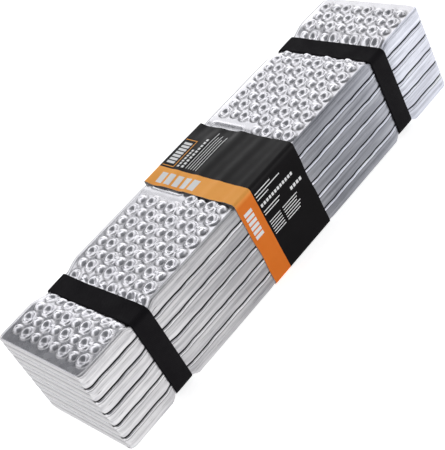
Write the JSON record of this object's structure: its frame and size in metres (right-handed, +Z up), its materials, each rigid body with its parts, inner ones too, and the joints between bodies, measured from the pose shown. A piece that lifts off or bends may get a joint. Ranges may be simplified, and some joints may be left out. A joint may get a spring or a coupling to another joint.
{
  "type": "folding foam sleeping pad",
  "caption": "Accordion-folded foam sleeping pad with a dimpled aluminium-film face, held by elastic straps and a card sleeve.",
  "frame": {"origin": "middle of the folded pack's underside, at the centre of its box's bottom face", "axes": "+X along the pack (the pad's width), +Y across it towards the bare foam folds, +Z up"},
  "size_m": [0.57, 0.1476, 0.1149],
  "materials": {
    "foam": "closed-cell foam, matt",
    "film": "satin aluminium film, finely wrinkled",
    "elastic": "ribbed woven elastic, black",
    "thread": "sewn bar tack",
    "card": "printed card, silk varnish, orange stripe"
  },
  "bodies": {
    "panel_01": {"foam_panel_01": "foam", "film_facing_01": "film"},
    "panel_02": {"foam_panel_02": "foam", "film_facing_02": "film", "fold_crease_01": "film"},
    "panel_03": {"foam_panel_03": "foam", "film_facing_03": "film", "fold_crease_02": "foam"},
    "panel_04": {"foam_panel_04": "foam", "film_facing_04": "film", "fold_crease_03": "film"},
    "panel_05": {"foam_panel_05": "foam", "film_facing_05": "film", "fold_crease_04": "foam"},
    "panel_06": {"foam_panel_06": "foam", "film_facing_06": "film", "fold_crease_05": "film"},
    "panel_07": {"foam_panel_07": "foam", "film_facing_07": "film", "fold_crease_06": "foam"},
    "panel_08": {"foam_panel_08": "foam", "film_facing_08": "film", "fold_crease_07": "film"},
    "panel_09": {"foam_panel_09": "foam", "film_facing_09": "film", "fold_crease_08": "foam"},
    "panel_10": {"foam_panel_10": "foam", "film_facing_10": "film", "fold_crease_09": "film"},
    "panel_11": {"foam_panel_11": "foam", "film_facing_11": "film", "fold_crease_10": "foam"},
    "panel_12": {"foam_panel_12": "foam", "film_facing_12": "film", "fold_crease_11": "film"},
    "strap_near": {"elastic_strap_near": "elastic", "strap_tack_near": "thread"},
    "strap_far": {"elastic_strap_far": "elastic", "strap_tack_far": "thread"},
    "sleeve": {"card_sleeve": "card"}
  },
  "joints": [
    {"name": "fold_01", "type": "hinge", "parent": "panel_01", "child": "panel_02", "pos_m": [0, -0.0725, 0.00945], "axis": [1, 0, 0], "range_deg": [0, 180], "deforming": ["fold_crease_01"]},
    {"name": "fold_02", "type": "hinge", "parent": "panel_02", "child": "panel_03", "pos_m": [0, 0.0725, 0.01905], "axis": [-1, 0, 0], "range_deg": [0, 180], "deforming": ["fold_crease_02"]},
    {"name": "fold_03", "type": "hinge", "parent": "panel_03", "child": "panel_04", "pos_m": [0, -0.0725, 0.02865], "axis": [1, 0, 0], "range_deg": [0, 180], "deforming": ["fold_crease_03"]},
    {"name": "fold_04", "type": "hinge", "parent": "panel_04", "child": "panel_05", "pos_m": [0, 0.0725, 0.03825], "axis": [-1, 0, 0], "range_deg": [0, 180], "deforming": ["fold_crease_04"]},
    {"name": "fold_05", "type": "hinge", "parent": "panel_05", "child": "panel_06", "pos_m": [0, -0.0725, 0.04785], "axis": [1, 0, 0], "range_deg": [0, 180], "deforming": ["fold_crease_05"]},
    {"name": "fold_06", "type": "hinge", "parent": "panel_06", "child": "panel_07", "pos_m": [0, 0.0725, 0.05745], "axis": [-1, 0, 0], "range_deg": [0, 180], "deforming": ["fold_crease_06"]},
    {"name": "fold_07", "type": "hinge", "parent": "panel_07", "child": "panel_08", "pos_m": [0, -0.0725, 0.06705], "axis": [1, 0, 0], "range_deg": [0, 180], "deforming": ["fold_crease_07"]},
    {"name": "fold_08", "type": "hinge", "parent": "panel_08", "child": "panel_09", "pos_m": [0, 0.0725, 0.07665], "axis": [-1, 0, 0], "range_deg": [0, 180], "deforming": ["fold_crease_08"]},
    {"name": "fold_09", "type": "hinge", "parent": "panel_09", "child": "panel_10", "pos_m": [0, -0.0725, 0.08625], "axis": [1, 0, 0], "range_deg": [0, 180], "deforming": ["fold_crease_09"]},
    {"name": "fold_10", "type": "hinge", "parent": "panel_10", "child": "panel_11", "pos_m": [0, 0.0725, 0.09585], "axis": [-1, 0, 0], "range_deg": [0, 180], "deforming": ["fold_crease_10"]},
    {"name": "fold_11", "type": "hinge", "parent": "panel_11", "child": "panel_12", "pos_m": [0, -0.0725, 0.10545], "axis": [1, 0, 0], "range_deg": [0, 180], "deforming": ["fold_crease_11"]},
    {"name": "strap_near_slide", "type": "slide", "parent": "panel_01", "child": "strap_near", "axis": [-1, 0, 0], "range_m": [0, 0.16], "deforming": ["elastic_strap_near", "strap_tack_near"]},
    {"name": "sleeve_slide", "type": "slide", "parent": "panel_01", "child": "sleeve", "axis": [1, 0, 0], "range_m": [0, 0.36], "deforming": ["card_sleeve"]},
    {"name": "strap_far_slide", "type": "slide", "parent": "panel_01", "child": "strap_far", "axis": [1, 0, 0], "range_m": [0, 0.3], "deforming": ["elastic_strap_far", "strap_tack_far"]}
  ],
  "couplings": [
    {"joint": "fold_02", "follows": "fold_01", "ratio": 1},
    {"joint": "fold_03", "follows": "fold_01", "ratio": 1},
    {"joint": "fold_04", "follows": "fold_01", "ratio": 1},
    {"joint": "fold_05", "follows": "fold_01", "ratio": 1},
    {"joint": "fold_06", "follows": "fold_01", "ratio": 1},
    {"joint": "fold_07", "follows": "fold_01", "ratio": 1},
    {"joint": "fold_08", "follows": "fold_01", "ratio": 1},
    {"joint": "fold_09", "follows": "fold_01", "ratio": 1},
    {"joint": "fold_10", "follows": "fold_01", "ratio": 1},
    {"joint": "fold_11", "follows": "fold_01", "ratio": 1},
    {"joint": "strap_near_slide", "follows": "fold_01", "m_per_rad": 0.05092},
    {"joint": "sleeve_slide", "follows": "fold_01", "m_per_rad": 0.11459},
    {"joint": "strap_far_slide", "follows": "fold_01", "m_per_rad": 0.09549}
  ]
}
